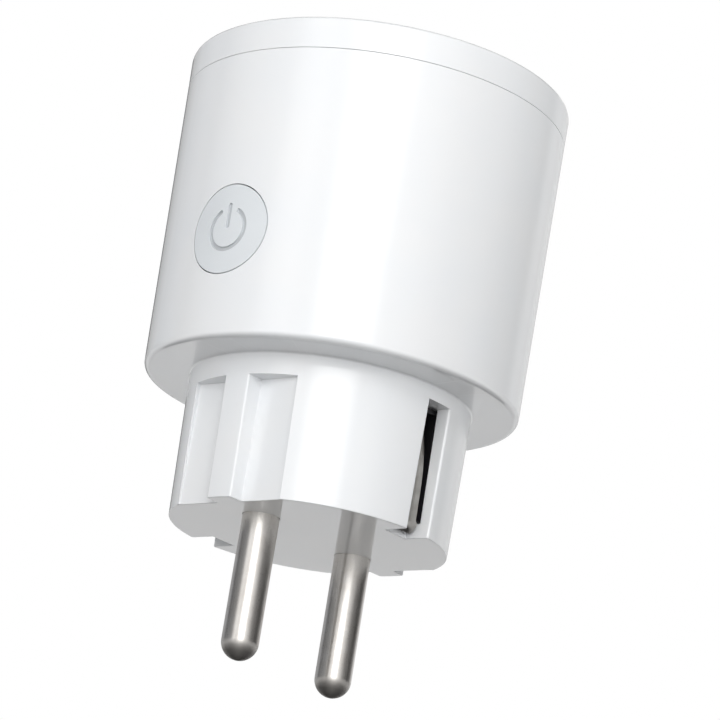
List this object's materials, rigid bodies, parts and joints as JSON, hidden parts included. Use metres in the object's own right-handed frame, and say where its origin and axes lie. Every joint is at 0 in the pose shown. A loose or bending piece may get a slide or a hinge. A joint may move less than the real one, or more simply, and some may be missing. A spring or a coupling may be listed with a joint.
{
  "type": "smart plug",
  "caption": "Round switched adapter: two plug pins and earth strips below, a recessed earthed socket above, a power button on the side.",
  "frame": {"origin": "centre of the flat end face of the plug insert, which meets the wall socket", "axes": "+Z runs from the plug pins to the socket face, -Y faces the side of the power button, the earth contacts are on +X and -X"},
  "size_m": [0.051, 0.051, 0.0808],
  "materials": {
    "white_shell": "polished moulded white polycarbonate",
    "button_plastic": "satin moulded pale grey ABS",
    "nickel": "nickel-plated brass, satin",
    "spring_bronze": "nickel-plated phosphor bronze strip",
    "copper": "bare copper",
    "iron": "soft iron, zinc-plated",
    "spring_steel": "bright spring steel",
    "board_green": "green solder mask over glass-epoxy laminate",
    "black_epoxy": "moulded epoxy",
    "black_resin": "moulded black nylon",
    "carrier_plastic": "natural moulded nylon",
    "can_sleeve": "dark blue shrink sleeve or moulded case",
    "resistor_coating": "cement coating",
    "varistor_coating": "epoxy dip coating",
    "led_lens": "clear cast epoxy"
  },
  "bodies": {
    "housing": {"main_housing": "white_shell", "front_cover": "white_shell", "tact_switch_body": "black_resin", "status_led": "led_lens", "control_board": "board_green", "radio_shield": "nickel", "main_board": "board_green", "bulk_capacitor": "can_sleeve", "output_capacitor": "can_sleeve", "filter_inductor": "black_resin", "fusible_resistor": "resistor_coating", "bridge_rectifier": "black_epoxy", "varistor": "varistor_coating", "metering_chip": "black_epoxy", "voltage_regulator": "black_epoxy", "shunt_strip": "copper", "relay_base": "black_resin", "relay_case": "can_sleeve", "relay_bobbin": "carrier_plastic", "relay_coil": "copper", "relay_core": "iron", "relay_yoke": "iron", "relay_fixed_contact": "copper", "line_pin": "nickel", "neutral_pin": "nickel", "pin_retainer": "carrier_plastic", "retainer_screw": "spring_steel", "line_strap": "copper", "neutral_strap": "copper", "load_strap": "copper", "line_socket_contact": "spring_bronze", "neutral_socket_contact": "spring_bronze", "contact_carrier": "carrier_plastic", "carrier_screw_left": "spring_steel", "carrier_screw_right": "spring_steel", "shutter_spring": "spring_steel", "earth_bridge": "spring_bronze", "earth_blade_left": "spring_bronze", "earth_blade_right": "spring_bronze", "earth_clip_left": "spring_bronze", "earth_clip_right": "spring_bronze", "earth_rivet_left": "copper", "earth_rivet_right": "copper", "earth_guide_left": "black_resin", "earth_guide_right": "black_resin"},
    "button": {"power_button": "button_plastic"},
    "switch_plunger": {"tact_switch_plunger": "black_resin"},
    "shutter": {"shutter": "carrier_plastic"},
    "armature": {"relay_armature": "iron", "relay_contact_spring": "copper"}
  },
  "joints": [
    {"name": "button_press", "type": "slide", "parent": "housing", "child": "button", "axis": [0, 1, 0], "range_m": [0, 0.0005], "stiffness_N_per_m": 500, "springref_m": -0.0004},
    {"name": "plunger_press", "type": "slide", "parent": "housing", "child": "switch_plunger", "axis": [0, 1, 0], "range_m": [0, 0.0005]},
    {"name": "shutter_turn", "type": "hinge", "parent": "housing", "child": "shutter", "pos_m": [0, 0, 0.0406], "axis": [0, 0, 1], "range_deg": [0, 42], "stiffness_Nm_per_rad": 0.002, "springref_deg": -17.19},
    {"name": "armature_swing", "type": "hinge", "parent": "housing", "child": "armature", "pos_m": [0.01165, 0.008, 0.034], "axis": [1, 0, 0], "range_deg": [0, 4.5], "stiffness_Nm_per_rad": 0.01, "springref_deg": -5.73}
  ],
  "couplings": [
    {"joint": "plunger_press", "follows": "button_press", "ratio": 1}
  ]
}
